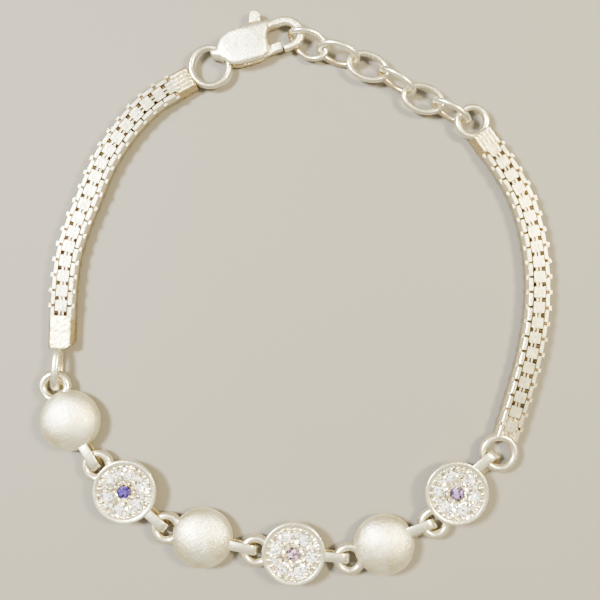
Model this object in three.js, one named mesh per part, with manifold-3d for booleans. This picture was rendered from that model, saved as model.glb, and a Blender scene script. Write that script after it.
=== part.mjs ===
// Link bracelet in silver, lying closed in a loop. Two box-mesh bands, three satin beads and three
// stone-set discs joined by wire loops, six oval extension links, and a lobster clasp with a lever.
// Millimetres, +Z up. The bracelet rests on the plane z = 0, and its origin is on that plane, under
// the middle of its outline. +X and +Y run across the loop, and the clasp is at the +Y side.

import * as THREE from 'three';
import { mergeVertices } from 'three/addons/utils/BufferGeometryUtils.js';
import Module from 'manifold-3d';

const wasm = await Module();
wasm.setup();

// ---------------------------------------------------------------- driving dimensions (mm, degrees)

// Height of the plane that the wire rings, strips and lever share, above the resting plane.
const MID_HEIGHT = 1.2;

// Box-mesh band. Rows repeat at the pitch: a wide middle plate, then a pair of bars half a pitch on,
// with a corner plate folded over each edge beside the bars.
const BAND = {
  width: 3.04, height: 2.0, pitch: 1.75,
  coreWidth: 2.5, coreInset: 0.3, coreEnd: 0.2,
  middleWidth: 1.3, middleLength: 1.18,
  barInside: 0.09, barOutside: 0.27, barLength: 0.62, barInset: 0.1,
  cornerInside: 0.74, cornerTop: 1.08, cornerFold: 0.62, cornerLength: 1.27,
  blockWidth: 2.96, blockInset: 0.06, blockChamfer: 0.42,
};

// Middle line of each band, from its bead end to its clasp end, seen from above.
const LEFT_BAND_LINE = [
  { x: -27.45, y: -5.6 }, { x: -27.3, y: -0.2 }, { x: -26.6, y: 5.65 }, { x: -24.4, y: 11.6 },
  { x: -22.0, y: 16.95 }, { x: -17.2, y: 22.75 }, { x: -12.4, y: 25.55 },
];
const RIGHT_BAND_LINE = [
  { x: 23.65, y: -15.9 }, { x: 25.1, y: -11.4 }, { x: 26.6, y: -5.85 }, { x: 27.4, y: 0.0 },
  { x: 27.15, y: 5.65 }, { x: 25.65, y: 11.5 }, { x: 23.3, y: 15.7 }, { x: 20.65, y: 19.3 },
];
// Solder-filled length at each end of a band.
const BLOCK_AT_BEADS = 2.4;
const BLOCK_AT_CLASP = 1.7;

// Rings soldered flat to the ends of the bands: middle, outer diameter and wire.
const CLASP_RING = { x: -10.37, y: 26.88, z: MID_HEIGHT, outer: 5.15, wire: 0.68, room: 0.16 };
const CHAIN_RING = { x: 19.78, y: 20.53, z: 1.38, outer: 4.15, wire: 0.76 };
const DISC_RING = { x: 22.92, y: -17.54, z: MID_HEIGHT, outer: 4.6, wire: 0.9 };

// Oval wire eye that stands on edge at the bead end of the left band.
const STANDING_EYE = { x: -27.93, y: -7.88, heading: -97, length: 5.3, height: 2.7, wire: 0.66 };

// Segments round a soldered ring or ring loop, and round its wire.
const RING_SEGMENTS = { ring: 16, wire: 6 };

// Beads and discs. Each has a flat ring loop at one side and an upright strip loop at the other.
const BEAD = { radius: 3.5, wallLow: 1.15, wallHigh: 1.5, height: 3.4, sides: 16, domeSteps: 4 };
const DISC = {
  radius: 3.63, baseRadius: 3.15, wallHeight: 1.65, height: 2.35, faceDrop: 0.25, sides: 24,
  rim: 0.5, rimEdge: 0.11, rimSlope: 0.08, sunk: 0.1,
};
const RING_LOOP = { offset: 4.32, radius: 1.4, wire: 0.92 };
const STRIP_LOOP = {
  root: 2.6, reach: 6.5, width: 0.97, thickness: 0.3, low: 0.2, high: 2.2, bendSteps: 6,
};
// A disc's faceTurn is how far its ring of stones is turned.
const LINKS = [
  { name: 'bead_link_1', kind: 'bead', x: -26.45, y: -13.86, ringAngle: 114.5, stripAngle: -60, skew: 0 },
  {
    name: 'disc_link_1', kind: 'disc', x: -20.05, y: -21.91, ringAngle: 139, stripAngle: -43, skew: 0,
    faceTurn: 15,
  },
  { name: 'bead_link_2', kind: 'bead', x: -11.19, y: -27.35, ringAngle: 165, stripAngle: -13, skew: 0.1 },
  {
    name: 'disc_link_2', kind: 'disc', x: -0.75, y: -29.0, ringAngle: 178, stripAngle: -6, skew: 0.1,
    faceTurn: -10,
  },
  { name: 'bead_link_3', kind: 'bead', x: 9.68, y: -28.12, ringAngle: 202.5, stripAngle: 22, skew: 0.45 },
  {
    name: 'disc_link_3', kind: 'disc', x: 17.92, y: -22.08, ringAngle: 235.5, stripAngle: 42, skew: 0.6,
    faceTurn: -9,
  },
];

// Stones of a disc: the middle stone is loose in its seat, the others are fused to the face.
const STONE = {
  radius: 0.74, tableRatio: 0.58, crown: 0.24, girdle: 0.06, pavilion: 0.5, facets: 8,
  seatGap: 0.1, seatFloor: 0.15, seatSides: 16,
};
const PAVE = { count: 6, circle: 2.05, radius: 0.7, tableRatio: 0.6, crown: 0.2, facets: 8 };
const PRONGS = { count: 24, circle: 2.9, radius: 0.18, tableRatio: 0.4, crown: 0.16, facets: 4 };

// Oval extension links. Each is turned by its heading, pitch and roll, and its two ends are twisted
// against each other: twist is the extra roll of the end nearest the band.
const OVAL = { length: 5.3, width: 3.6, wire: 0.64, steps: 16, sides: 6 };
const EXTENSION = [
  { x: 0.88, y: 29.5, z: 1.42, heading: -30, pitch: 0, roll: 32, twist: -42 },
  { x: 4.4, y: 28.28, z: 1.59, heading: -18, pitch: 0, roll: 59, twist: 0 },
  { x: 7.8, y: 26.86, z: 1.4, heading: -20, pitch: 0, roll: -4, twist: 0 },
  { x: 11.06, y: 25.1, z: 1.76, heading: -33, pitch: 1, roll: 77, twist: 0 },
  { x: 14.15, y: 23.14, z: 1.43, heading: -17, pitch: 0, roll: 1, twist: 0 },
  { x: 17.26, y: 21.62, z: 1.76, heading: -30, pitch: -1, roll: 77, twist: 0 },
];

// Lobster clasp, in its own plane: u runs from the tail to the hook, v across, towards the thumb.
const CLASP = { x: -10.0, y: 28.18, heading: 13.6, thickness: 2.2, bevel: 0.25 };
const CLASP_BODY_OUTLINE = [
  { u: -0.25, v: -0.35 }, { u: 0.55, v: -0.62 }, { u: 1.2, v: -1.25 }, { u: 1.8, v: -1.75 },
  { u: 2.7, v: -1.95 }, { u: 4.5, v: -1.92 }, { u: 5.5, v: -1.82 }, { u: 6.2, v: -1.45 },
  { u: 6.45, v: -0.5 }, { u: 6.5, v: 0.6 }, { u: 6.9, v: 1.3 }, { u: 7.1, v: 2.28 },
  { u: 5.6, v: 2.24 }, { u: 3.7, v: 2.26 }, { u: 2.3, v: 2.12 }, { u: 1.2, v: 1.55 },
  { u: 0.55, v: 0.5 }, { u: -0.25, v: 0.4 },
];
// Middle line of the hook arm, with its width in the clasp's plane and its depth in height.
const HOOK_ARM = [
  { u: 6.3, v: 1.72, z: 1.15, width: 1.05, depth: 1.5 },
  { u: 7.6, v: 1.86, z: 1.2, width: 1.05, depth: 1.3 },
  { u: 8.8, v: 1.9, z: 1.3, width: 1.05, depth: 1.1 },
  { u: 9.7, v: 1.55, z: 1.4, width: 1.02, depth: 0.86 },
  { u: 10.3, v: 0.75, z: 1.42, width: 1.0, depth: 0.8 },
  { u: 10.35, v: -0.1, z: 1.42, width: 0.95, depth: 0.8 },
  { u: 9.85, v: -0.8, z: 1.4, width: 0.88, depth: 0.86 },
  { u: 8.95, v: -1.12, z: 1.3, width: 0.82, depth: 1.05 },
  { u: 8.12, v: -1.2, z: 1.25, width: 0.78, depth: 1.1 },
];
const HOOK_STEPS = 14;
const CLASP_SLOT = { low: 0.78, high: 1.62 };
const CLASP_SLOT_OUTLINE = [
  { u: 2.2, v: -2.3 }, { u: 7.4, v: -2.3 }, { u: 7.4, v: 0.9 }, { u: 6.35, v: 1.05 },
  { u: 6.35, v: 2.6 }, { u: 3.0, v: 2.6 }, { u: 2.6, v: 1.2 }, { u: 2.2, v: 0.6 },
];
const PIVOT = { u: 3.7, v: -0.3, pin: 0.5, bore: 0.62, sunk: 0.2, sides: 12 };
const LEVER = { low: 0.86, high: 1.54, outerLow: 0.7, outerHigh: 1.75, bevel: 0.15 };
const LEVER_OUTLINE = [
  { u: 2.75, v: -0.9 }, { u: 3.3, v: -1.55 }, { u: 4.6, v: -1.75 }, { u: 6.2, v: -1.62 },
  { u: 6.75, v: -1.45 }, { u: 6.75, v: -0.5 }, { u: 5.7, v: 0.2 }, { u: 5.9, v: 1.2 },
  { u: 6.2, v: 2.45 }, { u: 4.75, v: 2.45 }, { u: 4.2, v: 1.2 }, { u: 3.2, v: 0.7 },
  { u: 2.75, v: 0.1 },
];
const THUMB_OUTLINE = [
  { u: 4.75, v: 2.4 }, { u: 6.2, v: 2.4 }, { u: 6.45, v: 3.35 }, { u: 6.2, v: 3.75 },
  { u: 5.8, v: 3.92 }, { u: 5.35, v: 3.88 }, { u: 5.12, v: 3.6 },
];
const GATE_OUTLINE = [
  { u: 6.68, v: -1.52 }, { u: 7.94, v: -1.33 }, { u: 7.97, v: -0.3 }, { u: 6.68, v: -0.42 },
];

// ------------------------------------------------------------------------------- materials

const satinSilver = new THREE.MeshStandardMaterial({ color: 0xd8d6cf, roughness: 0.42, metalness: 1 });
const brightSilver = new THREE.MeshStandardMaterial({ color: 0xe6e3da, roughness: 0.22, metalness: 1 });
const violetStones = [0x5a46b4, 0xb9a8dc, 0x8466b0].map(
  (color) => new THREE.MeshStandardMaterial({ color, roughness: 0.08, metalness: 0 }));

// ------------------------------------------------------------------------------- solids

const radians = THREE.MathUtils.degToRad;

/** Six times the volume that a triangle list encloses, positive where its faces point out. */
function signedVolume(points, triangles) {
  let sum = 0;
  const corner = (n) => new THREE.Vector3().fromArray(points, 3 * n);
  for (let t = 0; t < triangles.length; t += 3) {
    sum += corner(triangles[t]).dot(corner(triangles[t + 1]).cross(corner(triangles[t + 2])));
  }
  return sum;
}

/** A manifold solid from a closed geometry, with its faces turned outwards. */
function solidOf(geometry) {
  const bare = geometry.clone();
  bare.deleteAttribute('normal');
  bare.deleteAttribute('uv');
  const merged = mergeVertices(bare, 1e-5);
  const points = merged.attributes.position.array;
  const triangles = [];
  for (let t = 0; t < merged.index.count; t += 3) {
    const [a, b, c] = merged.index.array.slice(t, t + 3);
    if (a !== b && b !== c && c !== a) triangles.push(a, b, c);
  }
  if (signedVolume(points, triangles) < 0) triangles.reverse();
  return new wasm.Manifold(new wasm.Mesh({
    numProp: 3, vertProperties: new Float32Array(points), triVerts: new Uint32Array(triangles),
  }));
}

/** One solid from several that overlap. */
function joined(solids) {
  return solids.reduce((whole, next) => whole.add(next));
}

/** A named mesh in the bracelet's frame. */
function meshOf(name, solid, material) {
  const { vertProperties, triVerts } = solid.getMesh();
  const geometry = new THREE.BufferGeometry();
  geometry.setAttribute('position', new THREE.BufferAttribute(new Float32Array(vertProperties), 3));
  geometry.setIndex(new THREE.BufferAttribute(new Uint32Array(triVerts), 1));
  geometry.computeVertexNormals();
  const mesh = new THREE.Mesh(geometry, material);
  mesh.name = name;
  return mesh;
}

/** A skin over rings of equally many points, closed on itself or capped flat at both ends. */
function loft(rings, closesOnItself) {
  const count = rings[0].length;
  const index = [];
  const spans = closesOnItself ? rings.length : rings.length - 1;
  for (let i = 0; i < spans; i += 1) {
    const here = i * count;
    const there = ((i + 1) % rings.length) * count;
    for (let j = 0; j < count; j += 1) {
      const k = (j + 1) % count;
      index.push(here + j, here + k, there + j, here + k, there + k, there + j);
    }
  }
  if (!closesOnItself) {
    const last = (rings.length - 1) * count;
    for (let j = 1; j < count - 1; j += 1) {
      index.push(0, j + 1, j, last, last + j, last + j + 1);
    }
  }
  const geometry = new THREE.BufferGeometry();
  const points = rings.flat().flatMap((point) => point.toArray());
  geometry.setAttribute('position', new THREE.Float32BufferAttribute(points, 3));
  geometry.setIndex(index);
  return geometry;
}

/** A plate of the given outline between two heights, its edges broken by a small bevel. */
function plate(outline, low, high, bevel = 0) {
  const shape = new THREE.Shape(outline.map(({ u, v }) => new THREE.Vector2(u, v)));
  const geometry = new THREE.ExtrudeGeometry(shape, {
    depth: high - low - 2 * bevel, bevelEnabled: bevel > 0, bevelThickness: bevel, bevelSize: bevel,
    bevelOffset: -bevel, bevelSegments: 1, steps: 1,
  });
  return solidOf(geometry.translate(0, 0, low + bevel));
}

/** An upright round bar of the given radius between two heights. */
function post(u, v, radius, low, high, sides) {
  const geometry = new THREE.CylinderGeometry(radius, radius, high - low, sides);
  return solidOf(geometry.rotateX(Math.PI / 2).translate(u, v, (low + high) / 2));
}

/** A wire ring lying flat, its first corner at the given turn. */
function flatRing({ x, y, z, radius, wire, turn = 0 }) {
  const geometry = new THREE.TorusGeometry(radius, wire / 2, RING_SEGMENTS.wire, RING_SEGMENTS.ring);
  return solidOf(geometry.rotateZ(turn).translate(x, y, z));
}

/** A soldered ring given by its outer diameter. */
function solderedRing(ring) {
  return flatRing({ ...ring, radius: (ring.outer - ring.wire) / 2 });
}

/** A closed wire oval in the XY plane, its long axis along X. */
function wireOval(length, width, wire, steps, sides) {
  const rings = [];
  for (let i = 0; i < steps; i += 1) {
    const angle = (i / steps) * 2 * Math.PI;
    const middle = new THREE.Vector3(
      Math.cos(angle) * (length - wire) / 2, Math.sin(angle) * (width - wire) / 2, 0);
    const outward = new THREE.Vector3(
      Math.cos(angle) * (width - wire), Math.sin(angle) * (length - wire), 0).normalize();
    const ring = [];
    for (let j = 0; j < sides; j += 1) {
      const around = ((j + 0.5) / sides) * 2 * Math.PI;
      ring.push(middle.clone().addScaledVector(outward, Math.cos(around) * wire / 2)
        .add(new THREE.Vector3(0, 0, Math.sin(around) * wire / 2)));
    }
    rings.push(ring);
  }
  return loft(rings, true);
}

// ------------------------------------------------------------------------------- bands

/** A prism that follows a band's middle line between two distances; its section holds [across, z]. */
function alongBand(line, from, to, section, stations) {
  const length = line.getLength();
  const rings = [];
  for (let i = 0; i < stations; i += 1) {
    const share = THREE.MathUtils.clamp((from + (to - from) * i / (stations - 1)) / length, 0, 1);
    const middle = line.getPointAt(share);
    const tangent = line.getTangentAt(share);
    const across = new THREE.Vector3(tangent.y, -tangent.x, 0);
    rings.push(section.map(([u, z]) => middle.clone().addScaledVector(across, u).setZ(z)));
  }
  return solidOf(loft(rings, false));
}

/** A rectangle as a section, from one side to the other between two heights. */
function slab(left, right, low, high) {
  return [[left, low], [right, low], [right, high], [left, high]];
}

/** A rectangle with its four corners cut, as a section. */
function chamferedSlab(width, low, high, cut) {
  const half = width / 2;
  return [
    [-half + cut, low], [half - cut, low], [half, low + cut], [half, high - cut],
    [half - cut, high], [-half + cut, high], [-half, high - cut], [-half, low + cut],
  ];
}

/** The plate folded over one edge of the band, as a section; side is 1 or -1. */
function cornerSection(side) {
  const { height, width, cornerInside, cornerTop, cornerFold } = BAND;
  const edge = width / 2;
  return [
    [cornerInside, 0], [cornerTop, 0], [edge, cornerFold], [edge, height - cornerFold],
    [cornerTop, height], [cornerInside, height],
  ].map(([u, z]) => [side * u, z]);
}

/** One box-mesh band with its solder-filled ends and whatever is soldered to them. */
function band(points, solderedOn) {
  const line = new THREE.CatmullRomCurve3(
    points.map(({ x, y }) => new THREE.Vector3(x, y, 0)), false, 'centripetal');
  const length = line.getLength();
  const { height, pitch, coreWidth, coreInset, middleWidth, middleLength } = BAND;
  const { barInside, barOutside, barLength, barInset, cornerLength } = BAND;
  const { blockWidth, blockInset, blockChamfer, coreEnd } = BAND;
  const block = chamferedSlab(blockWidth, blockInset, height - blockInset, blockChamfer);
  const core = slab(-coreWidth / 2, coreWidth / 2, coreInset, height - coreInset);
  const rows = Math.round((length - BLOCK_AT_BEADS - BLOCK_AT_CLASP) / pitch);
  const step = (length - BLOCK_AT_BEADS - BLOCK_AT_CLASP) / rows;
  const pieces = [
    alongBand(line, coreEnd, length - coreEnd, core, rows + 1),
    alongBand(line, 0, BLOCK_AT_BEADS, block, 2),
    alongBand(line, length - BLOCK_AT_CLASP, length, block, 2),
  ];
  const centred = (middle, size, section) => {
    pieces.push(alongBand(line, middle - size / 2, middle + size / 2, section, 2));
  };
  for (let row = 0; row < rows; row += 1) {
    const plateMiddle = BLOCK_AT_BEADS + (row + 0.5) * step;
    centred(plateMiddle, middleLength, slab(-middleWidth / 2, middleWidth / 2, 0, height));
    if (row === rows - 1) break;
    const barMiddle = plateMiddle + step / 2;
    for (const side of [-1, 1]) {
      const edges = [side * barInside, side * barOutside];
      centred(barMiddle, barLength, slab(...edges, height / 2, height - barInset));
      centred(barMiddle, cornerLength, cornerSection(side));
    }
  }
  return joined([...pieces, ...solderedOn]);
}

/** The oval eye that stands on edge under the left band's bead end. */
function standingEye() {
  const { x, y, heading, length, height, wire } = STANDING_EYE;
  const eye = wireOval(length, height, wire, RING_SEGMENTS.ring, RING_SEGMENTS.wire)
    .rotateX(Math.PI / 2).rotateZ(radians(heading));
  return solidOf(eye.translate(x, y, height / 2));
}

// ------------------------------------------------------------------------------- bead and disc links

/** The strip bent to a loop in an upright plane; skew shifts its lower leg sideways. */
function stripLoop(angle, skew) {
  const { root, reach, width, thickness, low, high, bendSteps } = STRIP_LOOP;
  const middle = (low + high) / 2;
  const outer = (high - low) / 2;
  const rings = [];
  const section = (along, away, slope) => [[0, -1], [0, 1], [thickness, 1], [thickness, -1]]
    .map(([depth, side]) => {
      const inset = outer - depth;
      const z = middle + away * inset;
      return new THREE.Vector3(
        along + slope * inset, side * width / 2 + skew * (z - middle) / outer, z);
    });
  const bend = reach - outer;
  rings.push(section(root, 1, 0));
  for (let i = 0; i <= bendSteps; i += 1) {
    const turn = Math.PI / 2 - (i / bendSteps) * Math.PI;
    rings.push(section(bend, Math.sin(turn), Math.cos(turn)));
  }
  rings.push(section(root, -1, 0));
  return solidOf(loft(rings, false).rotateZ(radians(angle)));
}

/** The flat ring loop beside a bead or disc. */
function ringLoop(angle) {
  const { offset, radius, wire } = RING_LOOP;
  const turn = radians(angle);
  return flatRing({
    x: Math.cos(turn) * offset, y: Math.sin(turn) * offset, z: MID_HEIGHT, radius, wire, turn,
  });
}

/** The puffed bead: a shallow underside, a short wall and a domed top. */
function beadBody() {
  const { radius, wallLow, wallHigh, height, sides, domeSteps } = BEAD;
  const profile = [];
  for (let i = 0; i <= domeSteps; i += 1) {
    const turn = (i / domeSteps) * Math.PI / 2;
    profile.push(new THREE.Vector2(radius * Math.sin(turn), wallLow * (1 - Math.cos(turn))));
  }
  for (let i = 0; i <= domeSteps; i += 1) {
    const turn = (i / domeSteps) * Math.PI / 2;
    const rise = height - wallHigh;
    profile.push(new THREE.Vector2(radius * Math.cos(turn), wallHigh + rise * Math.sin(turn)));
  }
  profile[0].x = 0;
  profile.at(-1).x = 0;
  return solidOf(new THREE.LatheGeometry(profile, sides).rotateX(Math.PI / 2));
}

/** A cut stone seen from its girdle up: a flat table and sloping facets. */
function stoneCrown(x, y, z, { radius, tableRatio, crown, facets }, sunk) {
  const flare = radius * (1 + (1 - tableRatio) * sunk / crown);
  const geometry = new THREE.CylinderGeometry(radius * tableRatio, flare, crown + sunk, facets);
  return solidOf(geometry.rotateX(Math.PI / 2).translate(x, y, z + (crown - sunk) / 2));
}

/** The disc: a shallow cup with a raised rim, small stones and prongs, and a seat for one stone. */
function discBody(faceTurn) {
  const { radius, baseRadius, wallHeight, height, faceDrop, sides, rim, rimEdge, rimSlope, sunk } = DISC;
  const face = height - faceDrop;
  const profile = [
    [0, 0], [baseRadius, 0], [radius, wallHeight], [radius, height - rimEdge],
    [radius - rimEdge, height], [radius - rim, height], [radius - rim - rimSlope, face], [0, face],
  ].map(([r, z]) => new THREE.Vector2(r, z));
  const pieces = [solidOf(new THREE.LatheGeometry(profile, sides).rotateX(Math.PI / 2))];
  const onCircle = (count, circle, turn, make) => {
    for (let i = 0; i < count; i += 1) {
      const angle = radians(turn + (i / count) * 360);
      pieces.push(make(Math.cos(angle) * circle, Math.sin(angle) * circle));
    }
  };
  const halfway = faceTurn + 180 / PRONGS.count;
  onCircle(PAVE.count, PAVE.circle, faceTurn, (x, y) => stoneCrown(x, y, face, PAVE, sunk));
  onCircle(PRONGS.count, PRONGS.circle, halfway, (x, y) => stoneCrown(x, y, face, PRONGS, sunk));
  const seatFloor = face - STONE.pavilion - STONE.seatFloor;
  const seat = post(0, 0, STONE.radius + STONE.seatGap, seatFloor, 2 * height, STONE.seatSides);
  return joined(pieces).subtract(seat);
}

/** The middle stone of a disc: table, crown, girdle and pointed pavilion. */
function middleStone() {
  const { radius, tableRatio, crown, girdle, pavilion, facets } = STONE;
  const profile = [
    [0, -pavilion], [radius, -girdle], [radius, 0], [radius * tableRatio, crown], [0, crown],
  ].map(([r, z]) => new THREE.Vector2(r, z));
  const geometry = new THREE.LatheGeometry(profile, facets).rotateX(Math.PI / 2);
  return solidOf(geometry.translate(0, 0, DISC.height - DISC.faceDrop));
}

/** A bead or disc with its two loops, as one soldered piece. */
function braceletLink({ name, kind, x, y, ringAngle, stripAngle, skew, faceTurn }) {
  const body = kind === 'bead' ? beadBody() : discBody(faceTurn);
  const piece = joined([body, ringLoop(ringAngle), stripLoop(stripAngle, skew)]);
  return meshOf(name, piece.translate([x, y, 0]), satinSilver);
}

// ------------------------------------------------------------------------------- extension and clasp

/** One oval of the extension chain, turned to its lie. */
function extensionLink({ x, y, z, heading, pitch, roll, twist }, name) {
  const { length, width, wire, steps, sides } = OVAL;
  const oval = wireOval(length, width, wire, steps, sides);
  const points = oval.attributes.position;
  const axis = new THREE.Vector3(1, 0, 0);
  for (let i = 0; i < points.count; i += 1) {
    const point = new THREE.Vector3().fromBufferAttribute(points, i);
    point.applyAxisAngle(axis, radians(twist) * point.x / (length / 2));
    points.setXYZ(i, point.x, point.y, point.z);
  }
  oval.rotateX(radians(roll)).rotateY(radians(-pitch)).rotateZ(radians(heading));
  return meshOf(name, solidOf(oval.translate(x, y, z)), brightSilver);
}

/** The hook arm, swept through its stations with a flattened round section. */
function hookArm() {
  const line = new THREE.CatmullRomCurve3(
    HOOK_ARM.map(({ u, v, z }) => new THREE.Vector3(u, v, z)), false, 'centripetal');
  const last = HOOK_ARM.length - 1;
  const corners = [[1, 0.5], [0.5, 1], [-0.5, 1], [-1, 0.5], [-1, -0.5], [-0.5, -1], [0.5, -1], [1, -0.5]];
  const rings = [];
  for (let i = 0; i <= HOOK_STEPS; i += 1) {
    const share = i / HOOK_STEPS;
    const place = share * last;
    const before = HOOK_ARM[Math.min(Math.floor(place), last - 1)];
    const after = HOOK_ARM[Math.min(Math.floor(place) + 1, last)];
    const between = place - Math.min(Math.floor(place), last - 1);
    const width = THREE.MathUtils.lerp(before.width, after.width, between);
    const depth = THREE.MathUtils.lerp(before.depth, after.depth, between);
    const middle = line.getPoint(share);
    const tangent = line.getTangent(share);
    const across = new THREE.Vector3(-tangent.y, tangent.x, 0).normalize();
    rings.push(corners.map(([a, b]) => middle.clone().addScaledVector(across, a * width / 2)
      .add(new THREE.Vector3(0, 0, b * depth / 2))));
  }
  return solidOf(loft(rings, false));
}

/** The groove that lets the clasp ring pass through the clasp's tail, in the bracelet's frame. */
function ringGroove() {
  const { x, y, z: height, outer, wire, room } = CLASP_RING;
  const half = wire / 2 + room;
  const radius = (outer - wire) / 2;
  const steps = 2 * RING_SEGMENTS.ring;
  const rings = [];
  for (let i = 0; i < steps; i += 1) {
    const turn = (i / steps) * 2 * Math.PI;
    const outward = new THREE.Vector3(Math.cos(turn), Math.sin(turn), 0);
    rings.push([[-half, -half], [half, -half], [half, half], [-half, half]].map(([r, z]) => (
      outward.clone().multiplyScalar(radius + r).add(new THREE.Vector3(x, y, height + z)))));
  }
  return solidOf(loft(rings, true));
}

/** Moves a solid from the clasp's plane to its place in the bracelet. */
function inClaspPlace(solid) {
  return solid.rotate([0, 0, CLASP.heading]).translate([CLASP.x, CLASP.y, 0]);
}

/** The cast body with its hook, slot, tail eye and the pin that the lever turns on. */
function claspBody() {
  const body = plate(CLASP_BODY_OUTLINE, 0, CLASP.thickness, CLASP.bevel);
  const slot = plate(CLASP_SLOT_OUTLINE, CLASP_SLOT.low, CLASP_SLOT.high);
  const { u, v, pin: radius, sunk, sides } = PIVOT;
  const pin = post(u, v, radius, CLASP_SLOT.low - sunk, CLASP_SLOT.high + sunk, sides);
  const cast = body.subtract(slot).add(pin).add(hookArm());
  return meshOf('clasp_body', inClaspPlace(cast).subtract(ringGroove()), satinSilver);
}

/** The lever: a thin tongue round the pin, a thumb piece and the gate that closes the hook. */
function claspLever() {
  const tongue = plate(LEVER_OUTLINE, LEVER.low, LEVER.high);
  const thumb = plate(THUMB_OUTLINE, LEVER.outerLow, LEVER.outerHigh, LEVER.bevel);
  const gate = plate(GATE_OUTLINE, LEVER.outerLow, LEVER.outerHigh, LEVER.bevel);
  const bore = post(PIVOT.u, PIVOT.v, PIVOT.bore, 0, CLASP.thickness, PIVOT.sides);
  return meshOf('clasp_lever', inClaspPlace(joined([tongue, thumb, gate]).subtract(bore)), satinSilver);
}

// ------------------------------------------------------------------------------- assembly

const bracelet = new THREE.Group();

bracelet.add(meshOf('band_left',
  band(LEFT_BAND_LINE, [solderedRing(CLASP_RING), standingEye()]), brightSilver));
bracelet.add(meshOf('band_right',
  band(RIGHT_BAND_LINE, [solderedRing(CHAIN_RING), solderedRing(DISC_RING)]), brightSilver));

let discNumber = 0;
for (const link of LINKS) {
  bracelet.add(braceletLink(link));
  if (link.kind === 'disc') {
    const stone = middleStone().translate([link.x, link.y, 0]);
    bracelet.add(meshOf(`middle_stone_${discNumber + 1}`, stone, violetStones[discNumber]));
    discNumber += 1;
  }
}

EXTENSION.forEach((lie, index) => {
  bracelet.add(extensionLink(lie, `extension_link_${index + 1}`));
});

bracelet.add(claspBody(), claspLever());

// The origin goes under the middle of the outline.
const outline = new THREE.Box3().setFromObject(bracelet);
const middle = outline.getCenter(new THREE.Vector3());
bracelet.position.set(-middle.x, -middle.y, -outline.min.z);

export default bracelet;
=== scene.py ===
"""Looks of the link bracelet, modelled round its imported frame.

Every piece is built in metres in the frame's own axes: +Z up from the resting plane, the clasp at +Y.
"""

import math
import random
from collections import namedtuple
from contextlib import contextmanager

import bpy
from mathutils import Matrix, Vector


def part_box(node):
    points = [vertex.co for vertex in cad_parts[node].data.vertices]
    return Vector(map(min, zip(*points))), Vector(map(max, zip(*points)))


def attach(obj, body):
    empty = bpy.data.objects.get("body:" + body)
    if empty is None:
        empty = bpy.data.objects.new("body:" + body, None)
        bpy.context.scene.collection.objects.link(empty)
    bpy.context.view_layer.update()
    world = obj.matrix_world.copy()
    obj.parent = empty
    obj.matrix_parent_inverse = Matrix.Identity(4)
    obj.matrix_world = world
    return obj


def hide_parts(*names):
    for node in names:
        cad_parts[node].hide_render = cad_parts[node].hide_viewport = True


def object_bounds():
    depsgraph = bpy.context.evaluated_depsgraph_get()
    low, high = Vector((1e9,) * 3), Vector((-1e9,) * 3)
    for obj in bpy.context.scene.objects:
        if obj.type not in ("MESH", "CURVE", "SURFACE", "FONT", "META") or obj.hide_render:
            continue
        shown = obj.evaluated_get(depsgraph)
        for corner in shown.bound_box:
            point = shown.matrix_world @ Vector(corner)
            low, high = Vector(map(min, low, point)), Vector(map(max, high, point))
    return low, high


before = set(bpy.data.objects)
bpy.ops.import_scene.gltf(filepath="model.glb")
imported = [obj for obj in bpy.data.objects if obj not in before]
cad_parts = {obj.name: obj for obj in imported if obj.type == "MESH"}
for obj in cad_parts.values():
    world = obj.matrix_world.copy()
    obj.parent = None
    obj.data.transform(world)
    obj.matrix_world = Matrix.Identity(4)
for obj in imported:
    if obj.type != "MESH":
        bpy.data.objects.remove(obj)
CAD_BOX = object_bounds()

bl_info = {
    "name": "Link bracelet looks",
    "version": (1, 0, 0),
    "blender": (4, 5, 0),
    "location": "View3D > Sidebar > Bracelet",
    "description": "Models the finished pieces, finishes and stage of a silver link bracelet",
    "category": "Object",
}

MM = 0.001
UP = Vector((0, 0, 1))
BODY = "bracelet"
LEVER_BODY = "lever"
FORWARD = Vector((0, 1, 0))
QUARTER_TURN = math.pi / 2
FULL_TURN = 2 * math.pi

# How near a corner lies to a height or an edge that it belongs to.
AT = 0.02 * MM
CLOSE = 0.01 * MM
# Corners of the frame are told apart on a grid of this many mm.
GRID = 0.005


# ---------------------------------------------------------------- reading the frame

def cad_points(node):
    """Every corner of a node's mesh."""
    return [v.co.copy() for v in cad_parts[node].data.vertices]


def farthest(points, direction):
    """The point that lies farthest along a direction."""
    return max(points, key=lambda point: point.dot(direction))


def heading(vector):
    """The turn of a vector about +Z."""
    return math.atan2(vector.y, vector.x)


def flat(point):
    """A point's place on the resting plane."""
    return Vector((point.x, point.y, 0))


def ray(turn):
    """The direction at a turn about +Z."""
    return Vector((math.cos(turn), math.sin(turn), 0))


def mean(points):
    """The middle of some points."""
    return sum(points, Vector()) / len(points)


def plate_centres(node, height):
    """Middle and least reach of each separate flat face at a height of a node."""
    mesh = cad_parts[node].data
    group_of = {}
    members = []
    for face in mesh.polygons:
        corners = [mesh.vertices[i].co for i in face.vertices]
        if any(abs(corner.z - height) > AT for corner in corners):
            continue
        keys = {tuple(round(c / (GRID * MM)) for c in corner) for corner in corners}
        joined = {group_of[key] for key in keys if key in group_of}
        target = min(joined) if joined else len(members)
        if not joined:
            members.append(set())
        for other in joined - {target}:
            for key in members[other]:
                group_of[key] = target
            members[target] |= members[other]
            members[other] = set()
        for key in keys:
            group_of[key] = target
        members[target] |= keys
    found = []
    for keys in members:
        if len(keys) < 4:  # taken up by another face, or a sliver
            continue
        points = [Vector(key) * GRID * MM for key in keys]
        middle = mean(points)
        reach = min((point - middle).length for point in points)
        found.append((middle, reach))
    return found


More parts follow.
